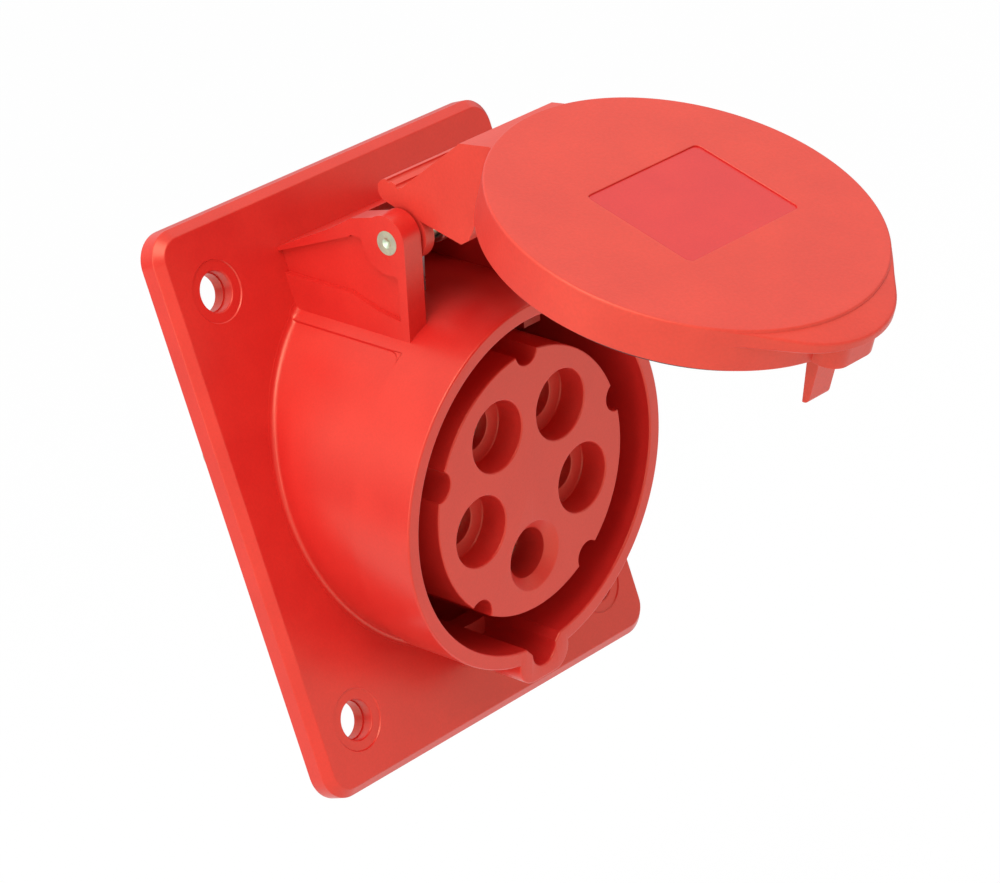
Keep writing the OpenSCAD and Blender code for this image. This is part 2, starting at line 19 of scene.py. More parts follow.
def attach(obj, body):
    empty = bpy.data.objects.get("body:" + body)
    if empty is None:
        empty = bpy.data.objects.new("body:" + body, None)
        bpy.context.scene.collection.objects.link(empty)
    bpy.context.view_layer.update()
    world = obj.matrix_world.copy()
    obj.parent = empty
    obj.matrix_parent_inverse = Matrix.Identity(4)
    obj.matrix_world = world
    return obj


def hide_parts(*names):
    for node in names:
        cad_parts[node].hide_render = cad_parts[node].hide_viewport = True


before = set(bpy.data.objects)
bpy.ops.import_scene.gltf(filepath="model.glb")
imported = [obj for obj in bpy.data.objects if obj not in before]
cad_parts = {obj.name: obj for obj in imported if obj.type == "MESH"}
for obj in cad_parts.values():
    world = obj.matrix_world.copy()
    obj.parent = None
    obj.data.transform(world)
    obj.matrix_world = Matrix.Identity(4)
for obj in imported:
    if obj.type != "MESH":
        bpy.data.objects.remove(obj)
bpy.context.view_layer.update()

MM = 0.001
THROUGH = 60.0  # half the length of a cutter that runs right through, in mm
Point2 = tuple[float, float]
Piece = bpy.types.Object
Draft = bmesh.types.BMesh
log = logging.getLogger("panel_socket")


# ---------------------------------------------------------------- frames of reference


@dataclass(frozen=True)
class Stance:
    """How the socket stands on its flange and how far the lid is open."""

    tilt: float = 20.0
    flange_t: float = 4.4
    axis_z: float = -0.14
    pin_up: float = 42.75
    pin_fwd: float = 10.54
    open_angle: float = 73.2

    def socket(self) -> Matrix:
        """The socket's own frame: x across, y up, z out along the axis."""
        place = Matrix.Translation(Vector((0, -self.flange_t, self.axis_z)))
        return place @ Matrix.Rotation(math.radians(90 + self.tilt), 4, "X")

    def flange(self) -> Matrix:
        """The flange's frame: x across, y up, z forward from its rear face."""
        return Matrix.Rotation(math.radians(90), 4, "X")

    def lid(self) -> Matrix:
        """The lid's frame: x along the pin, y toward the tip, z outward, from the pin."""
        pin = Matrix.Translation(Vector((0, self.pin_up, self.pin_fwd)))
        swing = Matrix.Rotation(math.radians(-self.open_angle), 4, "X")
        return self.socket() @ pin @ swing @ Matrix.Rotation(math.pi, 4, "Z")


class Side(Enum):
    """The two sides of the socket, seen from the front."""

    LEFT = -1
    RIGHT = 1


# ---------------------------------------------------------------- mesh building


def smoothstep(value: float) -> float:
    """An eased step from 0 to 1, flat at both ends."""
    t = min(max(value, 0.0), 1.0)
    return t * t * (3 - 2 * t)


def arc(cx: float, cy: float, r: float, start: float, end: float, steps: int) -> list[Point2]:
    """Points on an arc.

    Args:
        cx: Centre, first coordinate.
        cy: Centre, second coordinate.
        r: Radius.
        start: First angle in degrees.
        end: Last angle in degrees.
        steps: Number of chords.

    Returns:
        The points, both ends included.
    """
    angles = [math.radians(start + (end - start) * i / steps) for i in range(steps + 1)]
    return [(cx + r * math.cos(a), cy + r * math.sin(a)) for a in angles]


def round_rect(half_w: float, half_h: float, r: float, steps: int) -> list[Point2]:
    """A rectangle about the origin, with a number of chords in each round corner."""
    points: list[Point2] = []
    for sx, sy, start in ((1, 1, 0), (-1, 1, 90), (-1, -1, 180), (1, -1, 270)):
        points += arc(sx * (half_w - r), sy * (half_h - r), r, start, start + 90, steps)
    return points


def ray_reach(inside: Callable[[float, float], bool], angle: float, high: float) -> float:
    """How far an outline reaches from its centre in one direction.

    Args:
        inside: Whether a point lies within the outline.
        angle: Direction in radians, from +y toward +x.
        high: A distance that is surely outside.

    Returns:
        The distance to the outline.
    """
    low = 0.0
    for _ in range(32):
        middle = (low + high) / 2
        if inside(middle * math.sin(angle), middle * math.cos(angle)):
            low = middle
        else:
            high = middle
    return low


def in_rib(x: float, y: float, half_w: float, corner: float, reach: float) -> bool:
    """Whether a point lies in a rib with round outer corners that reaches out along +y."""
    x = abs(x)
    if y < 0 or y > reach or x > half_w:
        return False
    dx, dy = x - (half_w - corner), y - (reach - corner)
    return dx <= 0 or dy <= 0 or dx * dx + dy * dy <= corner * corner


def add_object(name: str, data: bpy.types.ID) -> Piece:
    """Puts new data into the scene as an object at the origin."""
    obj = bpy.data.objects.new(name, data)
    bpy.context.scene.collection.objects.link(obj)
    return obj


class Shaper:
    """Makes meshes from rings, outlines and profiles, and joins, cuts and softens them."""

    @staticmethod
    def object_from(name: str, bm: Draft, place: Optional[Matrix] = None) -> Piece:
        """Turns a bmesh into an object that is still in millimetres, in its own frame.

        Args:
            name: The object's name.
            bm: The mesh, which is freed.
            place: Where the mesh stands in that frame, if it isn't there already.

        Returns:
            The new object, at the origin.
        """
        bmesh.ops.remove_doubles(bm, verts=bm.verts, dist=1e-5)
        bmesh.ops.recalc_face_normals(bm, faces=bm.faces)
        if place is not None:
            bm.transform(place)
        mesh = bpy.data.meshes.new(name)
        bm.to_mesh(mesh)
        bm.free()
        return add_object(name, mesh)

    @staticmethod
    def rings(rows: Sequence[Sequence[Vector]], cap_first: bool, cap_last: bool) -> Draft:
        """Joins closed rings of equal length into a skin.

        Args:
            rows: The rings in order.
            cap_first: Closes the first ring with a face.
            cap_last: Closes the last ring with a face.

        Returns:
            The mesh.
        """
        bm = bmesh.new()
        made = [[bm.verts.new(p) for p in row] for row in rows]
        count = len(rows[0])
        for lower, upper in zip(made, made[1:]):
            for i in range(count):
                j = (i + 1) % count
                bm.faces.new((lower[i], lower[j], upper[j], upper[i]))
        if cap_first:
            bm.faces.new(made[0])
        if cap_last:
            bm.faces.new(made[-1])
        return bm

    @classmethod
    def lathe(cls, profile: Sequence[Point2], segments: int = 96) -> Draft:
        """Turns a profile of (radius, height) about z, closing ends that lie off the axis."""
        angles = [2 * math.pi * i / segments for i in range(segments)]
        rows = [
            [Vector((r * math.cos(a), r * math.sin(a), z)) for a in angles] for r, z in profile
        ]
        return cls.rings(rows, True, True)

    @classmethod
    def rod(cls, r: float, low: float, high: float, segments: int = 128) -> Draft:
        """A plain cylinder about z."""
        return cls.lathe([(0, low), (r, low), (r, high), (0, high)], segments)

    @classmethod
    def cross_hole(cls, r: float, y: float, z: float, segments: int) -> Piece:
        """A cutter along x for a bore or a groove at a place in y and z."""
        bm = cls.rod(r, -THROUGH, THROUGH, segments)
        bm.transform(Matrix.Rotation(math.pi / 2, 4, "Y"))
        return cls.object_from("tool", bm, Matrix.Translation((0, y, z)))

    @staticmethod
    def prism(outline: Sequence[Point2], z0: float, z1: float) -> Draft:
        """Extrudes an outline in x and y between two heights."""
        bm = bmesh.new()
        base = [bm.verts.new((x, y, z0)) for x, y in outline]
        top = [bm.verts.new((x, y, z1)) for x, y in outline]
        bm.faces.new(base)
        bm.faces.new(top)
        for i in range(len(base)):
            j = (i + 1) % len(base)
            bm.faces.new((base[i], base[j], top[j], top[i]))
        bmesh.ops.recalc_face_normals(bm, faces=bm.faces)
        return bm

    @classmethod
    def slab(cls, outline: Sequence[Point2], x0: float, x1: float) -> Draft:
        """Extrudes an outline given in y and z along x."""
        bm = cls.prism(outline, x0, x1)
        bm.transform(Matrix(((0, 0, 1, 0), (1, 0, 0, 0), (0, 1, 0, 0), (0, 0, 0, 1))))
        return bm

    @staticmethod
    def soften(bm: Draft, width: float, angle: float = 28.0, segments: int = 3) -> None:
        """Rounds every edge sharper than an angle.

        Args:
            bm: The mesh, changed in place.
            width: Radius of the rounding.
            angle: Smallest angle between faces that counts as an edge, in degrees.
            segments: Chords in the rounding.
        """
        bmesh.ops.remove_doubles(bm, verts=bm.verts, dist=1e-3)
        limit = math.radians(angle)
        sharp = [e for e in bm.edges if len(e.link_faces) == 2 and e.calc_face_angle(0.0) > limit]
        bmesh.ops.bevel(
            bm, geom=sharp, offset=width, segments=segments, profile=0.5, affect="EDGES",
            clamp_overlap=True, loop_slide=True,
        )

    @staticmethod
    def join(pieces: Sequence[Piece]) -> Piece:
        """Joins several cutters into the first of them."""
        bm = bmesh.new()
        for piece in pieces:
            bm.from_mesh(piece.data)
        bm.to_mesh(pieces[0].data)
        bm.free()
        for piece in pieces[1:]:
            bpy.data.objects.remove(piece)
        return pieces[0]

    @classmethod
    def boolean(cls, target: Piece, tools: list[Piece], how: str) -> None:
        """Adds tools to a piece one by one, or cuts them all from it at once, and removes them.

        Args:
            target: The piece, changed in place.
            tools: The tools.
            how: UNION or DIFFERENCE.
        """
        for tool in [cls.join(tools)] if how == "DIFFERENCE" else tools:
            step = target.modifiers.new("step", "BOOLEAN")
            step.operation = how
            step.object = tool
            step.solver = "EXACT"
            step.use_self = how == "DIFFERENCE"
            graph = bpy.context.evaluated_depsgraph_get()
            graph.update()
            made = bpy.data.meshes.new_from_object(target.evaluated_get(graph))
            target.modifiers.remove(step)
            old = target.data
            target.data = made
            made.name = target.name
            bpy.data.meshes.remove(old)
            bpy.data.objects.remove(tool)

    @staticmethod
    def tidy(obj: Piece) -> None:
        """Merges doubles and dissolves the lines that a cut leaves in flat faces."""
        bm = bmesh.new()
        bm.from_mesh(obj.data)
        bmesh.ops.remove_doubles(bm, verts=bm.verts, dist=2e-3)
        bmesh.ops.dissolve_limit(
            bm, angle_limit=math.radians(0.6), verts=bm.verts, edges=bm.edges
        )
        bm.to_mesh(obj.data)
        bm.free()

    @staticmethod
    def finish(obj: Piece, place: Matrix, angle: float = 32.0) -> None:
        """Brings a piece to its place in metres and shades it smooth, but for sharp edges."""
        obj.data.transform(Matrix.Scale(MM, 4) @ place)
        obj.data.shade_smooth()
        obj.data.set_sharp_from_angle(angle=math.radians(angle))
        flat = obj.modifiers.new("flat faces", "WEIGHTED_NORMAL")
        flat.keep_sharp = True
        flat.weight = 80

    @classmethod
    def soften_object(cls, obj: Piece, width: float, angle: float = 28.0) -> None:
        """Rounds the sharp edges of a piece."""
        bm = bmesh.new()
        bm.from_mesh(obj.data)
        cls.soften(bm, width, angle)
        bm.to_mesh(obj.data)
        bm.free()


# ---------------------------------------------------------------- finishes


class Nodes:
    """A short way to add and join shader nodes."""

    def __init__(self, owner: bpy.types.ID) -> None:
        """Starts from the tree of a material or a world."""
        self.tree = owner.node_tree
        self.shader = self.tree.nodes.get("Principled BSDF")

    def add(self, kind: str, **values: object) -> bpy.types.Node:
        """Adds a node and sets its properties and inputs by name."""
        node = self.tree.nodes.new(kind)
        for key, value in values.items():
            if hasattr(node, key):
                setattr(node, key, value)
            else:
                node.inputs[key.replace("_", " ").title()].default_value = value
        return node

    def join(self, source: bpy.types.NodeSocket, target: bpy.types.NodeSocket) -> None:
        """Joins two sockets."""
        self.tree.links.new(source, target)

    def mix(self, share: bpy.types.NodeSocket, *shaders: bpy.types.Node) -> None:
        """Mixes two shaders by a share and makes the result the tree's surface."""
        both = self.add("ShaderNodeMixShader")
        self.join(share, both.inputs[0])
        for i, shader in enumerate(shaders):
            self.join(shader.outputs[0], both.inputs[1 + i])
        output = next(n for n in self.tree.nodes if n.type.startswith("OUTPUT_"))
        self.join(both.outputs[0], output.inputs["Surface"])


@dataclass(frozen=True)
class Finish:
    """A surface finish: its colour, gloss, fine grain and slow colour change."""

    name: str
    colour: tuple[float, float, float]
    shade: tuple[float, float, float]
    roughness: float = 0.4
    roughness_spread: float = 0.08
    metallic: float = 0.0
    grain_mm: float = 0.35
    grain_height: float = 0.02
    mottle_mm: float = 9.0
    specular: float = 0.5
    tint: tuple[float, float, float] = (1.0, 1.0, 1.0)
    speckle: float = 0.04

    def material(self) -> bpy.types.Material:
        """Builds the finish as a material whose patterns lie on Object coordinates."""
        made = bpy.data.materials.new(self.name)
        made.use_nodes = True
        made.diffuse_color = (*self.colour, 1.0)
        nodes = Nodes(made)
        shader = nodes.shader
        shader.inputs["Metallic"].default_value = self.metallic
        shader.inputs["Specular IOR Level"].default_value = self.specular
        shader.inputs["Specular Tint"].default_value = (*self.tint, 1.0)
        place = nodes.add("ShaderNodeTexCoord")
        self._colour(nodes, place)
        self._relief(nodes, place)
        return made

    def _colour(self, nodes: Nodes, place: bpy.types.Node) -> None:
        """Lets the colour and the gloss drift slowly over the surface."""
        drift = nodes.add("ShaderNodeTexNoise", scale=1000 / self.mottle_mm, detail=3.0)
        nodes.join(place.outputs["Object"], drift.inputs["Vector"])
        ramp = nodes.add("ShaderNodeValToRGB")
        stops = ((0.34, self.shade), (0.68, self.colour))
        for stop, (at, colour) in zip(ramp.color_ramp.elements, stops):
            stop.position = at
            stop.color = (*colour, 1.0)
        nodes.join(drift.outputs["Fac"], ramp.inputs["Fac"])
        speck = nodes.add("ShaderNodeTexNoise", scale=1000 / self.grain_mm, detail=2.0)
        nodes.join(place.outputs["Object"], speck.inputs["Vector"])
        value = nodes.add(
            "ShaderNodeMapRange", from_min=0.3, from_max=0.7, to_min=1 - self.speckle,
            to_max=1 + self.speckle,
        )
        nodes.join(speck.outputs["Fac"], value.inputs["Value"])
        fine = nodes.add("ShaderNodeHueSaturation")
        nodes.join(value.outputs["Result"], fine.inputs["Value"])
        nodes.join(ramp.outputs["Color"], fine.inputs["Color"])
        nodes.join(fine.outputs["Color"], nodes.shader.inputs["Base Color"])
        low, high = self.roughness - self.roughness_spread, self.roughness + self.roughness_spread
        gloss = nodes.add("ShaderNodeMapRange", to_min=low, to_max=high)
        nodes.join(drift.outputs["Fac"], gloss.inputs["Value"])
        nodes.join(gloss.outputs["Result"], nodes.shader.inputs["Roughness"])

    def _relief(self, nodes: Nodes, place: bpy.types.Node) -> None:
        """Gives the surface its fine grain."""
        if not self.grain_height:
            return
        grain = nodes.add("ShaderNodeTexNoise", scale=1000 / self.grain_mm, detail=4.0)
        nodes.join(place.outputs["Object"], grain.inputs["Vector"])
        bump = nodes.add("ShaderNodeBump", strength=1.0, distance=self.grain_height * MM)
        nodes.join(grain.outputs["Fac"], bump.inputs["Height"])
        nodes.join(bump.outputs["Normal"], nodes.shader.inputs["Normal"])


WARM = (1.0, 0.62, 0.40)  # the plastic's sheen, which is warmer than white


@dataclass(frozen=True)
class Palette:
    """Every finish of the socket."""

    housing: Finish = Finish(
        "housing_red", (0.60, 0.018, 0.014), (0.56, 0.014, 0.012), roughness=0.33,
        roughness_spread=0.03, grain_height=0.01, specular=1.0, tint=WARM,
    )
    insert: Finish = Finish(
        "insert_red", (0.60, 0.022, 0.016), (0.57, 0.018, 0.014), roughness=0.4,
        roughness_spread=0.03, grain_height=0.012, specular=1.0, tint=WARM,
    )
    lid: Finish = Finish(
        "lid_red", (0.60, 0.030, 0.020), (0.56, 0.024, 0.017), roughness=0.42,
        roughness_spread=0.03, grain_mm=0.5, grain_height=0.03, specular=1.0, tint=WARM,
    )
    label: Finish = Finish(
        "label_red", (0.58, 0.016, 0.012), (0.55, 0.013, 0.011), roughness=0.25,
        roughness_spread=0.03, grain_height=0.004, specular=0.5,
    )
    block: Finish = Finish(
        "block_grey", (0.30, 0.31, 0.31), (0.26, 0.27, 0.27), roughness=0.5, grain_height=0.02,
    )
    rubber: Finish = Finish(
        "seal_black", (0.03, 0.03, 0.032), (0.022, 0.022, 0.024), roughness=0.62,
        grain_mm=0.25, grain_height=0.02,
    )
    nickel: Finish = Finish(
        "contact_nickel", (0.66, 0.64, 0.56), (0.58, 0.56, 0.47), roughness=0.28,
        metallic=1.0, grain_mm=0.6, grain_height=0.004, mottle_mm=4.0,
    )
    steel: Finish = Finish(
        "spring_steel", (0.55, 0.55, 0.55), (0.45, 0.45, 0.45), roughness=0.3,
        metallic=1.0, grain_height=0.003,
    )
    zinc: Finish = Finish(
        "screw_zinc", (0.66, 0.68, 0.68), (0.58, 0.60, 0.62), roughness=0.3,
        metallic=1.0, grain_mm=0.8, grain_height=0.004, mottle_mm=2.5,
    )
    pin: Finish = Finish(
        "pin_zinc", (0.60, 0.72, 0.52), (0.52, 0.62, 0.46), roughness=0.38,
        metallic=0.85, grain_mm=0.5, grain_height=0.006, mottle_mm=1.6,
    )


# ---------------------------------------------------------------- housing


@dataclass
class Flange:
    """The flat mounting plate with its chamfered front and four holes."""

    width: float = 80.0
    height: float = 95.5
    rise: float = 0.4
    thickness: float = 4.4
    chamfer: float = 1.4
    corner_r: float = 5.0
    pitch_x: float = 60.5
    pitch_z: float = 72.5
    hole_r: float = 3.3
    hole_rear_r: float = 3.1
    land_r: float = 5.1
    land_t: float = 0.2
    crease_r: float = 0.45
    gasket_r: float = 36.2
    gasket_t: float = 1.2
    gasket_bump_r: float = 8.5
    gasket_bump_at: float = 31.5
    opening_r: float = 29.6
    rear_edge_r: float = 0.3
    side_edge_r: float = 0.35
    hole_edge_r: float = 0.25

    def _outline(self, inset: float) -> list[Point2]:
        """The plate's outline, drawn in from its edge, always with the same points."""
        r = max(self.corner_r - inset, 0.4)
        half_w, half_h = self.width / 2 - inset, self.height / 2 - inset
        return [(x, y + self.rise) for x, y in round_rect(half_w, half_h, r, 14)]

    def _profile(self) -> list[Point2]:
        """(inset, height) from the rear face round to the front face."""
        side = self.thickness - self.chamfer
        rear, edge, crease = self.rear_edge_r, self.side_edge_r, self.crease_r
        half_turn = math.tan(math.radians(22.5))  # the chamfer turns the surface by 45 degrees
        points = arc(rear, rear, rear, 270, 180, 4)
        points += arc(edge, side - 0.4 * edge, edge, 180, 135, 3)
        centre = (self.chamfer + crease * half_turn, self.thickness - crease)
        return points + arc(*centre, crease, 135, 90, 4)

    def build(self, stance: Stance) -> Piece:
        """Builds the plate with its holes, its opening and the gasket's recess."""
        rows = [
            [Vector((x, y, z)) for x, y in self._outline(inset)] for inset, z in self._profile()
        ]
        plate = Shaper.object_from("housing_flange", Shaper.rings(rows, True, True))
        Shaper.boolean(plate, self._cutters(stance), "DIFFERENCE")
        Shaper.tidy(plate)
        Shaper.finish(plate, stance.flange())
        return plate

    def _cutters(self, stance: Stance) -> list[Piece]:
        """The holes, the recess at the rear and the opening for the collar."""
        top, mid = self.thickness, self.thickness / 2
        flare, beyond = self.hole_edge_r, 2.0
        land = top - self.land_t
        profile = [(0, -beyond), (self.hole_rear_r + flare, -beyond)]
        profile += [(self.hole_rear_r + flare, -0.01), (self.hole_rear_r, flare)]
        profile += [(self.hole_rear_r, mid), (self.hole_r, mid)]
        mouth = arc(self.hole_r + flare, land - flare, flare, 180, 90, 4)
        profile += mouth + [(self.land_r - 0.12, land), (self.land_r, land + 0.1)]
        wide = self.land_r + 0.05
        profile += [(wide, top), (wide, top + beyond), (0, top + beyond)]
        tools = []
        for x in (-self.pitch_x / 2, self.pitch_x / 2):
            for z in (-self.pitch_z / 2, self.pitch_z / 2):
                place = Matrix.Translation((x, z, 0))
                tools.append(Shaper.object_from("cut", Shaper.lathe(profile, 64), place))
        gasket_z = stance.axis_z + self.thickness * math.tan(math.radians(stance.tilt))
        for r, at in ((self.gasket_r, 0.0), (self.gasket_bump_r, -self.gasket_bump_at)):
            place = Matrix.Translation((0, gasket_z + at, 0))
            tools.append(Shaper.object_from("cut", Shaper.rod(r, -1, self.gasket_t), place))
        to_flange = stance.flange().inverted() @ stance.socket()
        opening = Shaper.rod(self.opening_r, -THROUGH, THROUGH)
        tools.append(Shaper.object_from("cut", opening, to_flange))
        return tools


@dataclass
class Collar:
    """The leaning round collar with its front ring, hinge pad, rib, keyway and bore floor."""

    ring_r: float = 31.0
    step: float = 0.4
    bore_r: float = 28.5
    rim_z: float = 26.2
    ring_z: float = 14.2
    floor_z: float = -9.5
    rear_z: float = -13.0
    floor_hole_r: float = 22.6
    pad_half_w: float = 17.3
    pad_corner_r: float = 2.5
    rib_z: float = 10.29
    rib_half_w: float = 6.0
    rib_corner: float = 3.5
    rib_reach: float = 34.7
    rear_rib_half_w: float = 4.5
    rear_rib_reach: float = 33.9
    key_mouth_half: float = 4.1
    key_r: float = 2.9
    key_reach: float = 32.4
    key_end_z: float = -5.8
    edge_r: float = 0.35
    step_w: float = 0.07

    def _angles(self) -> list[float]:
        """Angles round the axis from the keyway, closer together where the outline turns."""
        found = {round(i * 1.5, 3) for i in range(240)}
        for i in range(0, 131):
            found.update({round(i * 0.1, 3), round(360 - i * 0.1, 3) % 360})
        pad = math.degrees(math.asin(self.pad_half_w / self.ring_r))
        for side in (180 - pad, 180 + pad):
            found.update(round(side + i * 0.125, 3) for i in range(-26, 27))
        return [math.radians(a) for a in sorted(found)]

    def _in_key(self, x: float, y: float) -> bool:
        """Whether a point lies in the keyway's outline or the bore."""
        if x * x + y * y <= self.bore_r**2:
            return True
        throat = self.key_reach - self.key_r
        if y >= throat:
            return x * x + (y - throat) ** 2 <= self.key_r**2
        low = self.bore_r - 0.2
        share = min(max((y - low) / (throat - low), 0.0), 1.0)
        return y > 0 and abs(x) <= self.key_mouth_half + (self.key_r - self.key_mouth_half) * share

    def _raised(self, angle: float, z: float) -> float:
        """1 on the front ring and the hinge pad, 0 on the barrel, eased over the step."""
        off_top = abs(math.pi - angle) * self.ring_r
        pad = math.asin(self.pad_half_w / self.ring_r) * self.ring_r
        out_x, out_z = off_top - pad, self.ring_z - z
        r = self.pad_corner_r
        if 0 < out_x < r and 0 < out_z < r:
            gap = r - math.hypot(r - out_x, r - out_z)
        else:
            gap = min(max(out_x, -9.0), max(out_z, -9.0))
        return 1 - smoothstep(gap / self.step_w + 0.5)

    def outer(self, angle: float, z: float) -> float:
        """The collar's outer radius in one direction at one height."""
        r = self.ring_r - self.step * (1 - self._raised(angle, z))
        if angle < math.radians(13) or angle > math.radians(347):
            front = z >= self.rib_z
            half = self.rib_half_w if front else self.rear_rib_half_w
            reach = self.rib_reach if front else self.rear_rib_reach
            rib = ray_reach(lambda x, y: in_rib(x, y, half, self.rib_corner, reach), angle, 40)
            r = max(r, rib)
        return r

    def _inner(self, angle: float, z: float) -> float:
        """The bore's radius in one direction, the keyway's where it runs."""
        if z < self.key_end_z or math.radians(12) < angle < math.radians(348):
            return self.bore_r
        return ray_reach(self._in_key, angle, 40)

    def _stations(self) -> list[tuple[float, float, bool]]:
        """(height, inset, outside) down the outside, over the rim and down the bore."""
        e, rear = self.edge_r, self.rear_z
        rows: list[tuple[float, float, bool]] = [(rear, 3.0, True), (rear, e, True)]
        rows.append((rear + e, 0, True))
        heights = [rear + e + i * 3.0 for i in range(1, 8)]
        heights += [self.rib_z - 0.02, self.rib_z]
        heights += [self.ring_z - 3.2 + i * 0.18 for i in range(17)]
        heights += [self.ring_z + (i - 3) * 0.0175 for i in range(7)]
        heights += [self.ring_z + 0.4 + i * 2.4 for i in range(5)]
        rows += [(z, 0, True) for z in sorted(h for h in heights if h > rear)]
        rim = [(e * math.sin(math.pi * i / 10), e * math.cos(math.pi * i / 10)) for i in range(6)]
        rows += [(self.rim_z - e + up, e - away, True) for up, away in rim]
        rows += [(self.rim_z - e + up, e - away, False) for away, up in rim]
        inner = [self.rim_z - 3, self.rim_z - 9, self.rim_z - 16, self.key_end_z + 6,
                 self.key_end_z + 0.01, self.key_end_z - 0.01, self.floor_z]
        rows += [(z, 0, False) for z in inner]
        return rows

    def build(self, stance: Stance) -> Piece:
        """Builds the collar from rings that follow its changing outline."""
        angles = self._angles()
        rows: list[list[Vector]] = []
        for z, inset, outside in self._stations():
            row = []
            for a in angles:
                r = self.outer(a, z) - inset if outside else self._inner(a, z) + inset
                row.append(Vector((r * math.sin(a), -r * math.cos(a), z)))
            rows.append(row)
        for r, z in ((self.floor_hole_r, self.floor_z), (self.floor_hole_r, self.rear_z)):
            rows.append([Vector((r * math.sin(a), -r * math.cos(a), z)) for a in angles])
        rows.append(rows[0])
        collar = Shaper.object_from("housing_collar", Shaper.rings(rows, False, False))
        Shaper.finish(collar, stance.socket())
        return collar


@dataclass
class RootFillet:
    """The thin moulded fillet where the collar stands on the flange."""

    collar: Collar
    size: float = 1.0
    edge: float = 0.12
    steps: int = 6

    def build(self, stance: Stance) -> Piece:
        """Builds the fillet as a closed strip round the collar."""
        slope = math.tan(math.radians(stance.tilt))
        to_flange = stance.flange().inverted() @ stance.socket()
        rows: list[list[Vector]] = [[] for _ in range(self.steps + 3)]
        for i in range(360):
            a = math.radians(i)
            direction = Vector((math.sin(a), -math.cos(a), 0))
            r = self.collar.outer(a, 12.0 if math.cos(a) > 0.9 else 0.0)
            root = direction * r
            root.z = -root.y * slope
            up = to_flange @ (root + Vector((0, 0, self.size)))
            foot = to_flange @ root
            away = to_flange.to_3x3() @ direction
            away.z = 0
            out = foot + away.normalized() * self.size + Vector((0, 0, self.edge))
            sunk = foot - away.normalized() * 0.6 - Vector((0, 0, 0.6))
            for k in range(self.steps + 1):
                t = k / self.steps
                rows[k].append(up * (1 - t) ** 2 + foot * (2 * t * (1 - t)) + out * t**2)
            rows[self.steps + 1].append(out - Vector((0, 0, 0.5)))
            rows[self.steps + 2].append(sunk)
        rows.append(rows[0])
        fillet = Shaper.object_from("housing_root_fillet", Shaper.rings(rows, False, False))
        Shaper.finish(fillet, stance.flange())
        return fillet


@dataclass
class Ears:
    """The two hinge ears with their recessed outer faces, and the roof between them."""

    width: float = 31.0
    thickness: float = 4.0
    nose_r: float = 4.05
    recess: float = 0.9
    boss_r: float = 5.4
    roof_t: float = 2.2
    pin_r: float = 2.02
    edge_r: float = 0.3

    def _nose(self, stance: Stance) -> Point2:
        """Centre of the round nose, as (up, forward)."""
        return (stance.pin_up + 0.35, stance.pin_fwd - 0.44)

    def _top_line(self, stance: Stance) -> list[Point2]:
        """The ridge from the flange to the roof's front edge."""
        up, fwd = stance.pin_up, stance.pin_fwd
        return [(up - 6.75, fwd - 25.04), (up - 0.15, fwd - 11.74), (up + 2.5, fwd - 7.34)]

    def _ear(self, stance: Stance) -> list[Point2]:
        """An ear's outline as (up, forward)."""
        nose = self._nose(stance)
        points = self._top_line(stance)
        points += arc(nose[0], nose[1], self.nose_r, -35, 90, 14)
        points += [(20, nose[1] + self.nose_r + 0.4), (20, -9.5)]
        return points

    def _recess(self, stance: Stance) -> list[Point2]:
        """The recess in an ear's outer face, round the boss, as (up, forward)."""
        up, fwd = stance.pin_up, stance.pin_fwd
        boss = arc(up, fwd, self.boss_r, 265, 166, 12)
        points = [(up - 7.9, fwd - 26.5), (up - 0.75, fwd - 8.1)]
        points += arc(up - 1.2, fwd - 7.3, 0.9, 300, 350, 4)
        points += [(up - 0.45, fwd - 5.6)] + boss
        points += [(up - 5.75, fwd + 2), (up - 12.75, fwd + 2.1), (up - 11.95, fwd - 2.9)]
        points += [(up - 10.25, fwd - 8.3), (up - 10.25, fwd - 26.5)]
        return points

    def build(self, stance: Stance) -> Piece:
        """Builds both ears and the roof as one softened piece."""
        half = self.width / 2
        ear, inside = self._ear(stance), half - self.thickness
        body = Shaper.object_from("housing_ears", Shaper.slab(ear, -half, -inside))
        other = Shaper.object_from("tool", Shaper.slab(ear, inside, half))
        top = self._top_line(stance)
        low = [(u - self.roof_t, f) for u, f in reversed(top)]
        sunk = inside + 1
        roof = Shaper.object_from("tool", Shaper.slab(top + low, -sunk, sunk))
        Shaper.boolean(body, [other, roof], "UNION")
        cuts = []
        for side in Side:
            x = side.value * half
            bm = Shaper.slab(self._recess(stance), x - self.recess, x + self.recess)
            cuts.append(Shaper.object_from("tool", bm))
        cuts.append(Shaper.cross_hole(self.pin_r, stance.pin_up, stance.pin_fwd, 48))
        Shaper.boolean(body, cuts, "DIFFERENCE")
        Shaper.tidy(body)
        Shaper.soften_object(body, self.edge_r)
        Shaper.finish(body, stance.socket())
        return body


@dataclass
class Housing:
    """The moulded housing: flange, collar, root fillet, ears and roof."""

    flange: Flange = field(default_factory=Flange)
    collar: Collar = field(default_factory=Collar)
    ears: Ears = field(default_factory=Ears)

    def build(self, stance: Stance, palette: Palette) -> list[Piece]:
        """Builds the housing's parts and dresses them."""
        material = palette.housing.material()
        made = [
            self.flange.build(stance),
            self.collar.build(stance),
            RootFillet(self.collar).build(stance),
            self.ears.build(stance),
        ]
        for piece in made:
            dress(piece, material, "socket", "housing_plastic", "housing")
        return made


# ---------------------------------------------------------------- insert


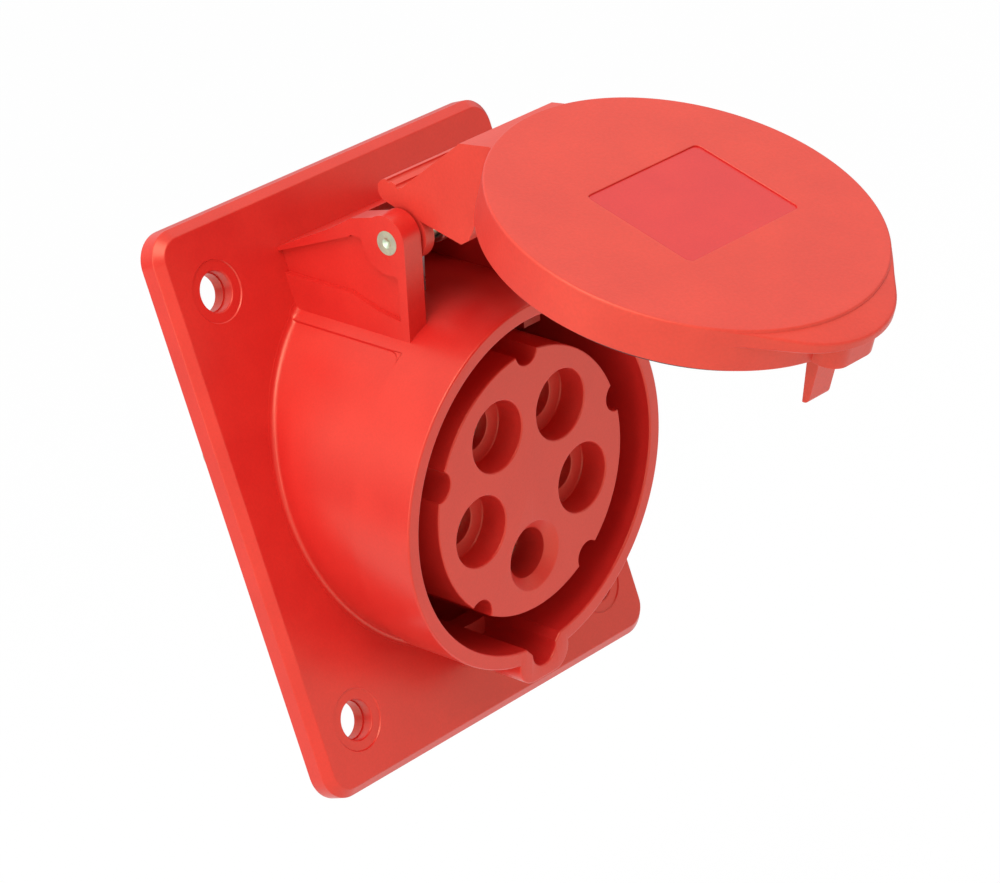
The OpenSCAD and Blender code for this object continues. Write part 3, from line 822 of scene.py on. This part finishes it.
@dataclass
class Insert:
    """The contact carrier: a round block with five contact holes and five edge notches."""

    radius: float = 22.5
    face_z: float = 24.9
    rear_z: float = -13.0
    circle_r: float = 13.15
    mouth_r: float = 5.92
    mouth_depth: float = 5.0
    line_r: float = 3.75
    earth_r: float = 4.25
    earth_lead: float = 1.6
    sleeve_z: float = 17.5
    notch_r: float = 2.6
    notch_at: float = 22.9
    notch_depth: float = 14.0
    notch_edge_r: float = 0.22
    line_pocket_r: float = 4.8
    earth_pocket_r: float = 5.8
    pocket_z: float = -20.0
    edge_r: float = 0.3
    poles: tuple[int, ...] = (198, 126, 54, 342)
    earth: int = 270

    def _body(self) -> Draft:
        """The turned outside of the insert."""
        e = self.edge_r
        profile = [(0, self.rear_z), (self.radius, self.rear_z), (self.radius, 8.0)]
        profile += arc(self.radius - e, self.face_z - e, e, 0, 90, 4)
        profile += [(0, self.face_z)]
        return Shaper.lathe(profile, 160)

    def _pocket(self, pocket_r: float, hole_r: float) -> list[Point2]:
        """The room around a contact's sleeve, up to the hole in front of it."""
        low = self.pocket_z
        return [(0, low), (pocket_r, low), (pocket_r, self.sleeve_z), (hole_r, self.sleeve_z)]

    def _line_hole(self) -> list[Point2]:
        """A line contact's hole from its pocket out past the face."""
        e, top = self.edge_r, self.face_z
        low = top - self.mouth_depth
        points = self._pocket(self.line_pocket_r, self.line_r)
        points += [(self.line_r, low - 0.55), (self.line_r + 0.2, low - 0.38)]
        points += [(self.mouth_r - 0.15, low), (self.mouth_r, low + 0.2)]
        points += arc(self.mouth_r + e, top - e, e, 180, 90, 4)
        return points + [(self.mouth_r + e, top + 5), (0, top + 5)]

    def _earth_hole(self) -> list[Point2]:
        """The earth contact's hole with its conical lead."""
        e, top = 0.15, self.face_z
        points = self._pocket(self.earth_pocket_r, self.earth_r)
        points += [(self.earth_r, top - self.earth_lead - 0.1)]
        points += [(self.earth_r + 0.12, top - self.earth_lead + 0.05)]
        points += [(self.mouth_r - 0.1, top - e), (self.mouth_r + 0.2, top)]
        return points + [(self.mouth_r + 0.2, top + 5), (0, top + 5)]

    def _notch(self) -> list[Point2]:
        """An edge notch, from its floor out past the face."""
        e, top, low = self.notch_edge_r, self.face_z, self.face_z - self.notch_depth
        points = [(0, low), (self.notch_r, low)] + arc(self.notch_r + e, top - e, e, 180, 90, 3)
        return points + [(self.notch_r + e, top + 3), (0, top + 3)]

    def build(self, stance: Stance, palette: Palette) -> Piece:
        """Builds the insert and dresses it."""
        body = Shaper.object_from("contact_insert_body", self._body())
        cutters = []
        for pole in (*self.poles, self.earth):
            hole = self._earth_hole() if pole == self.earth else self._line_hole()
            for profile, chords, r, angle in (
                (hole, 72, self.circle_r, pole), (self._notch(), 40, self.notch_at, pole + 36),
            ):
                a = math.radians(angle)
                place = Matrix.Translation((r * math.cos(a), r * math.sin(a), 0))
                cutters.append(Shaper.object_from("tool", Shaper.lathe(profile, chords), place))
        Shaper.boolean(body, cutters, "DIFFERENCE")
        Shaper.finish(body, stance.socket())
        dress(
            body, palette.insert.material(), "socket", "insert_plastic", "contact_insert",
            "insert_barrel",
        )
        return body


# ---------------------------------------------------------------- lid


@dataclass
class Cap:
    """The lid's round cap with its skirt, finger lip, rib and bare label field."""

    radius: float = 31.3
    centre: float = 42.25
    top_n: float = 24.66
    skirt_n: float = 17.36
    seal_n: float = 19.91
    plate_n: float = 22.46
    wall: float = 2.0
    seal_w: float = 4.1
    lip_r: float = 18.0
    lip_reach: float = 36.0
    lip_t: float = 1.5
    rib_half_w: float = 6.0
    rib_corner: float = 3.5
    rib_reach: float = 34.7
    edge_r: float = 0.45
    crease_r: float = 0.4
    label_w: float = 26.7
    label_h: float = 20.5
    label_t: float = 0.25
    label_x: float = -2.45
    label_y: float = -0.9
    label_corner: float = 1.0

    def _in_plan(self, x: float, y: float) -> bool:
        """Whether a point lies in the lid's plan, from the cap's centre."""
        if math.hypot(x, y) <= self.radius or math.hypot(x, y - self.lip_r) <= self.lip_r:
            return True
        lean = math.acos((self.radius - self.lip_r) / (self.lip_reach - self.lip_r))
        x = abs(x)
        big = (self.radius * math.sin(lean), self.radius * math.cos(lean))
        at = self.lip_reach - self.lip_r
        small = (self.lip_r * math.sin(lean), at + self.lip_r * math.cos(lean))
        if not big[1] <= y <= small[1]:
            return False
        share = (y - big[1]) / (small[1] - big[1])
        return x <= big[0] + (small[0] - big[0]) * share

    def _row(self, reach: dict[float, float], z: float) -> list[Vector]:
        """One ring of the cap at a height, from its reach in each direction."""
        return [
            Vector((r * math.sin(a), self.centre + r * math.cos(a), z)) for a, r in reach.items()
        ]

    def _lip_row(self, plan: dict[float, float], share: float, turn: float) -> list[Vector]:
        """One ring over the finger lip, which is nothing where the cap has no lip.

        Args:
            plan: How far the lid's plan reaches in each direction.
            share: How far out over the lip the ring lies, from 0 to 1.
            turn: How far the ring has turned over the lip's rounded edge, in radians.

        Returns:
            The ring's points.
        """
        row = []
        for a, far in plan.items():
            eased = min(far - self.radius, 1.0)
            e = self.edge_r * eased
            start = self.radius + 0.05 * eased
            r = start + (far - e - start) * share + e * math.sin(turn)
            drop = self.lip_t * max(r - self.radius, 0) / (self.lip_reach - self.radius)
            z = self.top_n - self.crease_r - 0.1 * eased - drop * 0.7
            z -= e * (1 - math.cos(turn)) + 0.002 * (share + turn)
            row.append(Vector((r * math.sin(a), self.centre + r * math.cos(a), z)))
        return row

    def _in_rib(self, x: float, y: float) -> bool:
        """Whether a point lies in the cap's circle or its rib."""
        if math.hypot(x, y) <= self.radius:
            return True
        return in_rib(x, y, self.rib_half_w, self.rib_corner, self.rib_reach)

    def build(self, stance: Stance) -> Piece:
        """Builds the cap from rings that follow the lip and the rib."""
        fine = {round(i * 0.25, 3) for i in range(60)}
        found = {round(i * 1.5, 3) for i in range(240)} | fine
        found |= {round(360 - a, 3) for a in fine if a}
        angles = [math.radians(a) for a in sorted(found)]
        plan = {a: ray_reach(self._in_plan, a, THROUGH) for a in angles}
        rib = {a: ray_reach(self._in_rib, a, THROUGH) for a in angles}
        top, c, low = self.top_n, self.crease_r, 0.25
        crown = [(r, top) for r in (4.0, 12.0, 22.0, 28.0, 30.2)]
        turns = [math.pi / 2 * k / 5 for k in range(6)]
        crown += [(self.radius - c + c * math.sin(t), top - c + c * math.cos(t)) for t in turns]
        rows = [self._row(dict.fromkeys(angles, r), z) for r, z in crown]
        rows += [self._lip_row(plan, share, 0.0) for share in (0.0, 0.15, 0.5, 0.85, 1.0)]
        rows += [self._lip_row(plan, 1.0, t) for t in turns[1:]]
        under, skirt = top - 2 * self.lip_t, self.skirt_n
        rows.append(self._row(plan, under + low))
        rows.append(self._row({a: max(plan[a] - low, rib[a]) for a in angles}, under))
        edge = ((0.001, under - 0.02), (0, skirt + low), (-low * 0.3, skirt + low * 0.3),
                (-low, skirt))
        rows += [self._row({a: rib[a] + grow for a in angles}, z) for grow, z in edge]
        inner = self.radius - self.wall
        seal = inner - self.seal_w
        hollow = [(inner + low, skirt), (inner, skirt + low), (inner, self.seal_n)]
        hollow += [(seal, self.seal_n), (seal, self.plate_n - 0.4), (seal - 0.4, self.plate_n)]
        rows += [self._row(dict.fromkeys(angles, r), z) for r, z in hollow]
        cap = Shaper.object_from("lid_cap", Shaper.rings(rows, True, True))
        Shaper.boolean(cap, [self._label_tool()], "DIFFERENCE")
        Shaper.finish(cap, stance.lid())
        return cap

    def mark_label(self, cap: Piece, stance: Stance) -> None:
        """Gives the label field's floor the second finish of the cap."""
        home = stance.lid().inverted() @ Matrix.Scale(1 / MM, 4)
        for face in cap.data.polygons:
            middle = home @ face.center
            low = middle.z < self.top_n - self.label_t / 2
            beside = max(abs(middle.x - self.label_x) - self.label_w / 2,
                         abs(middle.y - self.centre - self.label_y) - self.label_h / 2)
            if low and beside < 0.1 and middle.z > self.plate_n + 0.5:
                face.material_index = 1

    def _label_tool(self) -> Piece:
        """The cutter for the bare label field, with a soft upper edge."""
        rows = []
        for grow, z in ((0, -self.label_t), (0.02, -0.08), (0.1, 0.0), (0.12, 0.6)):
            half_w, half_h = self.label_w / 2 + grow, self.label_h / 2 + grow
            field_edge = round_rect(half_w, half_h, self.label_corner + grow, 6)
            rows.append([
                Vector((x + self.label_x, y + self.label_y + self.centre, z + self.top_n))
                for x, y in field_edge
            ])
        return Shaper.object_from("tool", Shaper.rings(rows, True, True))


@dataclass
class Arm:
    """The lid's hinge arm: two side walls, the skin over them and the grooved tail."""

    half_w: float = 11.0
    wall: float = 2.0
    skin: float = 2.0
    tail_low: float = 3.3
    tail_top: float = 7.1
    tail_end: float = -7.2
    hub_r: float = 4.2
    bore_r: float = 2.06
    groove_r: float = 0.45
    groove_pitch: float = 1.9
    edge_r: float = 0.35

    def _wall(self) -> list[Point2]:
        """A side wall's outline as (toward the tip, outward)."""
        points = [(-4.4, self.tail_low), (-2.7, self.tail_top), (6.4, 20.41), (11.85, 22.81)]
        points += [(13.85, 22.81), (13.85, 18.36), (12.4, 17.36), (12.4, 7.8), (11.9, 5.6)]
        points.append((10.7, 4.2))
        return points + arc(0, 0, self.hub_r, 61, -234, 40)

    def _skin(self) -> list[Point2]:
        """The skin's outline as (toward the tip, outward)."""
        return [
            (-2.7, self.tail_top), (6.4, 20.41), (11.85, 22.81), (13.85, 22.81), (13.85, 20.81),
            (7.6, 18.41), (0.2, self.tail_top - 0.6), (0.2, self.tail_low), (-3.0, self.tail_low),
        ]

    def _tail(self) -> list[Point2]:
        """The tail's outline with its round end."""
        r = (self.tail_top - self.tail_low) / 2
        points = [(-1.5, self.tail_low)] + arc(self.tail_end + r, self.tail_low + r, r, 270, 90, 16)
        return points + [(-1.5, self.tail_top)]

    def build(self, stance: Stance) -> Piece:
        """Builds the arm as one softened piece."""
        half = self.half_w
        body = Shaper.object_from("lid_arm", Shaper.slab(self._skin(), -half, half))
        tools = [Shaper.object_from("tool", Shaper.slab(self._tail(), -half, half))]
        for side in Side:
            low, high = sorted((side.value * (half - self.wall), side.value * half))
            tools.append(Shaper.object_from("tool", Shaper.slab(self._wall(), low, high)))
        Shaper.boolean(body, tools, "UNION")
        cuts = [Shaper.cross_hole(self.bore_r, 0.0, 0.0, 32)]
        for i in (1, 2):
            at = self.tail_end + i * self.groove_pitch
            cuts.append(Shaper.cross_hole(self.groove_r, at, self.tail_top, 32))
        Shaper.boolean(body, cuts, "DIFFERENCE")
        Shaper.tidy(body)
        Shaper.soften_object(body, self.edge_r)
        Shaper.finish(body, stance.lid())
        return body


@dataclass
class Prong:
    """The latch prong that drops into the keyway."""

    width: float = 5.2
    centre: float = 42.25
    root_n: float = 20.9
    tip_n: float = 7.66
    outside: float = 30.1
    root_t: float = 3.1
    tip_t: float = 1.1

    def build(self, stance: Stance) -> Piece:
        """Builds the prong with its round outer tip."""
        c, out = self.centre, self.centre + self.outside
        outline = [(c + self.outside - self.root_t, self.root_n), (out, self.root_n)]
        outline += arc(out - 1, self.tip_n + 1, 1, 0, -90, 6)
        outline += [(out - self.tip_t, self.tip_n)]
        bm = Shaper.slab(outline, -self.width / 2, self.width / 2)
        Shaper.soften(bm, 0.22)
        prong = Shaper.object_from("lid_prong", bm)
        Shaper.finish(prong, stance.lid())
        return prong


@dataclass
class Lid:
    """The moulded lid: cap, arm and latch prong."""

    cap: Cap = field(default_factory=Cap)
    arm: Arm = field(default_factory=Arm)
    prong: Prong = field(default_factory=Prong)

    def build(self, stance: Stance, palette: Palette) -> list[Piece]:
        """Builds the lid's parts and dresses them."""
        material = palette.lid.material()
        made = [self.cap.build(stance), self.arm.build(stance), self.prong.build(stance)]
        for piece in made:
            dress(piece, material, "lid", "lid_plastic", "lid")
        made[0].data.materials.append(palette.label.material())
        self.cap.mark_label(made[0], stance)
        return made


# ---------------------------------------------------------------- dressing


def dress(
    obj: Piece, material: bpy.types.Material, body: str, slot: str, *nodes: str
) -> None:
    """Gives a piece its finish and its place in the assembly.

    Args:
        obj: The piece.
        material: Its finish.
        body: The CAD body that it rides on.
        slot: The record's material slot; not used.
        nodes: The CAD nodes that it stands for.
    """
    obj.data.materials.clear()
    obj.data.materials.append(material)
    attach(obj, body)
    if nodes:
        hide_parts(*nodes)
    log.info("%s: %d faces, rides on %s", obj.name, len(obj.data.polygons), body)


def dress_cad(palette: Palette) -> None:
    """Gives every CAD node that stays shown its finish."""
    finishes = {
        "flange_gasket": palette.rubber,
        "lid_gasket": palette.rubber,
        "insert_seat": palette.insert,
        "terminal_block": palette.block,
        "contact_": palette.nickel,
        "spring_ring": palette.steel,
        "hinge_spring": palette.steel,
        "hinge_pin": palette.pin,
        "": palette.zinc,
    }
    made: dict[str, bpy.types.Material] = {}
    for name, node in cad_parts.items():
        finish = next(f for key, f in finishes.items() if name.startswith(key))
        if finish.name not in made:
            made[finish.name] = finish.material()
        for slot in node.material_slots:
            slot.material = made[finish.name]
        log.info("%s: CAD node in %s", name, finish.name)


# ---------------------------------------------------------------- studio


@dataclass
class Studio:
    """A pale floor and backdrop, soft lights and the camera."""

    distance: float = 0.7124
    azimuth: float = -43.816
    elevation: float = 10.636
    roll: float = 17.572
    lens: float = 156.73
    aim: tuple[float, float, float] = (0.01114, -0.01197, -0.00452)
    floor_z: float = -0.12
    # Centre and radius of the floor's painted glow, which only glossy reflections see.
    reflected_glow_centre: tuple[float, float] = (-0.1, 0.0)
    reflected_glow_r: float = 0.42
    floor_white: float = 0.96
    lamp_size: float = 0.7

    def build(self) -> None:
        """Sets up the floor, the light and the camera."""
        self._camera()
        self._floor()
        self._world()
        self._lamp("key", (-0.45, -0.45, 0.75), 6.0)
        self._lamp("fill", (-0.9, 0.0, 0.2), 3.0)

    def _camera(self) -> None:
        """Places the camera at the object's viewing angle."""
        az, el = math.radians(self.azimuth), math.radians(self.elevation)
        look = Vector((-math.sin(az) * math.cos(el), math.cos(az) * math.cos(el), -math.sin(el)))
        aim = Vector(self.aim)
        turn = look.to_track_quat("-Z", "Y").to_matrix().to_4x4()
        turn = turn @ Matrix.Rotation(math.radians(-self.roll), 4, "Z")
        data = bpy.data.cameras.new("camera")
        data.lens = self.lens
        data.sensor_width = 36
        data.clip_start = 0.01
        camera = add_object("camera", data)
        camera.matrix_world = Matrix.Translation(aim - look * self.distance) @ turn
        bpy.context.scene.camera = camera

    def _floor(self) -> None:
        """A plain white floor that is white to the camera and keeps the shadow. To glossy rays it
        glows white round the socket, a painted reflection that fades to a tenth at twice its
        radius.
        """
        bm = bmesh.new()
        bmesh.ops.create_grid(bm, x_segments=1, y_segments=1, size=3.0)
        bm.transform(Matrix.Translation((0, 0, self.floor_z)))
        mesh = bpy.data.meshes.new("floor")
        bm.to_mesh(mesh)
        bm.free()
        floor = add_object("floor", mesh)
        material = bpy.data.materials.new("floor_white")
        material.use_nodes = True
        nodes = Nodes(material)
        nodes.shader.inputs["Base Color"].default_value = (0.85, 0.85, 0.85, 1)
        nodes.shader.inputs["Roughness"].default_value = 0.8
        path = nodes.add("ShaderNodeLightPath")
        place = nodes.add("ShaderNodeTexCoord")
        reach = nodes.add("ShaderNodeVectorMath", operation="DISTANCE")
        reach.inputs[1].default_value = (*self.reflected_glow_centre, self.floor_z)
        nodes.join(place.outputs["Object"], reach.inputs[0])
        glow_fade = nodes.add(
            "ShaderNodeMapRange", from_min=self.reflected_glow_r, from_max=self.reflected_glow_r * 2, to_min=1.0,
            to_max=0.1,
        )
        nodes.join(reach.outputs["Value"], glow_fade.inputs["Value"])
        # Painted reflection: glossy rays see the floor glow white near the socket.
        glossy_glow = nodes.add("ShaderNodeMath", operation="MULTIPLY")
        nodes.join(path.outputs["Is Glossy Ray"], glossy_glow.inputs[0])
        nodes.join(glow_fade.outputs["Result"], glossy_glow.inputs[1])
        seen = nodes.add("ShaderNodeMath", operation="MAXIMUM")
        nodes.join(path.outputs["Is Camera Ray"], seen.inputs[0])
        nodes.join(glossy_glow.outputs[0], seen.inputs[1])
        share = nodes.add("ShaderNodeMath", operation="MULTIPLY")
        share.inputs[1].default_value = self.floor_white
        nodes.join(seen.outputs[0], share.inputs[0])
        nodes.mix(share.outputs[0], nodes.shader, nodes.add("ShaderNodeEmission"))
        floor.data.materials.append(material)

    def _world(self) -> None:
        """A soft even light from all round, white to the camera."""
        world = bpy.data.worlds.new("studio")
        bpy.context.scene.world = world
        world.use_nodes = True
        nodes = Nodes(world)
        sky = nodes.tree.nodes["Background"]
        sky.inputs["Color"].default_value = (1, 1, 1, 1)
        place = nodes.add("ShaderNodeTexCoord")
        split = nodes.add("ShaderNodeSeparateXYZ")
        nodes.join(place.outputs["Generated"], split.inputs[0])
        rise = nodes.add("ShaderNodeMapRange", from_min=0.0, from_max=0.5, to_min=0.2, to_max=1.0)
        nodes.join(split.outputs["Z"], rise.inputs["Value"])
        nodes.join(rise.outputs["Result"], sky.inputs["Strength"])
        path = nodes.add("ShaderNodeLightPath")
        nodes.mix(path.outputs["Is Camera Ray"], sky, nodes.add("ShaderNodeBackground"))

    def _lamp(self, name: str, place: tuple[float, float, float], power: float) -> None:
        """Adds one soft square lamp that faces the socket."""
        data = bpy.data.lights.new(name, "AREA")
        data.shape = "SQUARE"
        data.size = self.lamp_size
        data.energy = power
        lamp = add_object(name, data)
        at = Vector(place)
        turn = (-at).to_track_quat("-Z", "Y").to_matrix().to_4x4()
        lamp.matrix_world = Matrix.Translation(at) @ turn


def main() -> None:
    """Builds the socket's looks, its light and its camera."""
    logging.basicConfig(level=logging.INFO, format="%(name)s: %(message)s")
    stance, palette = Stance(), Palette()
    bpy.context.scene.view_settings.view_transform = "Standard"
    Studio().build()
    dress_cad(palette)
    Housing().build(stance, palette)
    Insert().build(stance, palette)
    Lid().build(stance, palette)


if __name__ == "__main__":
    main()
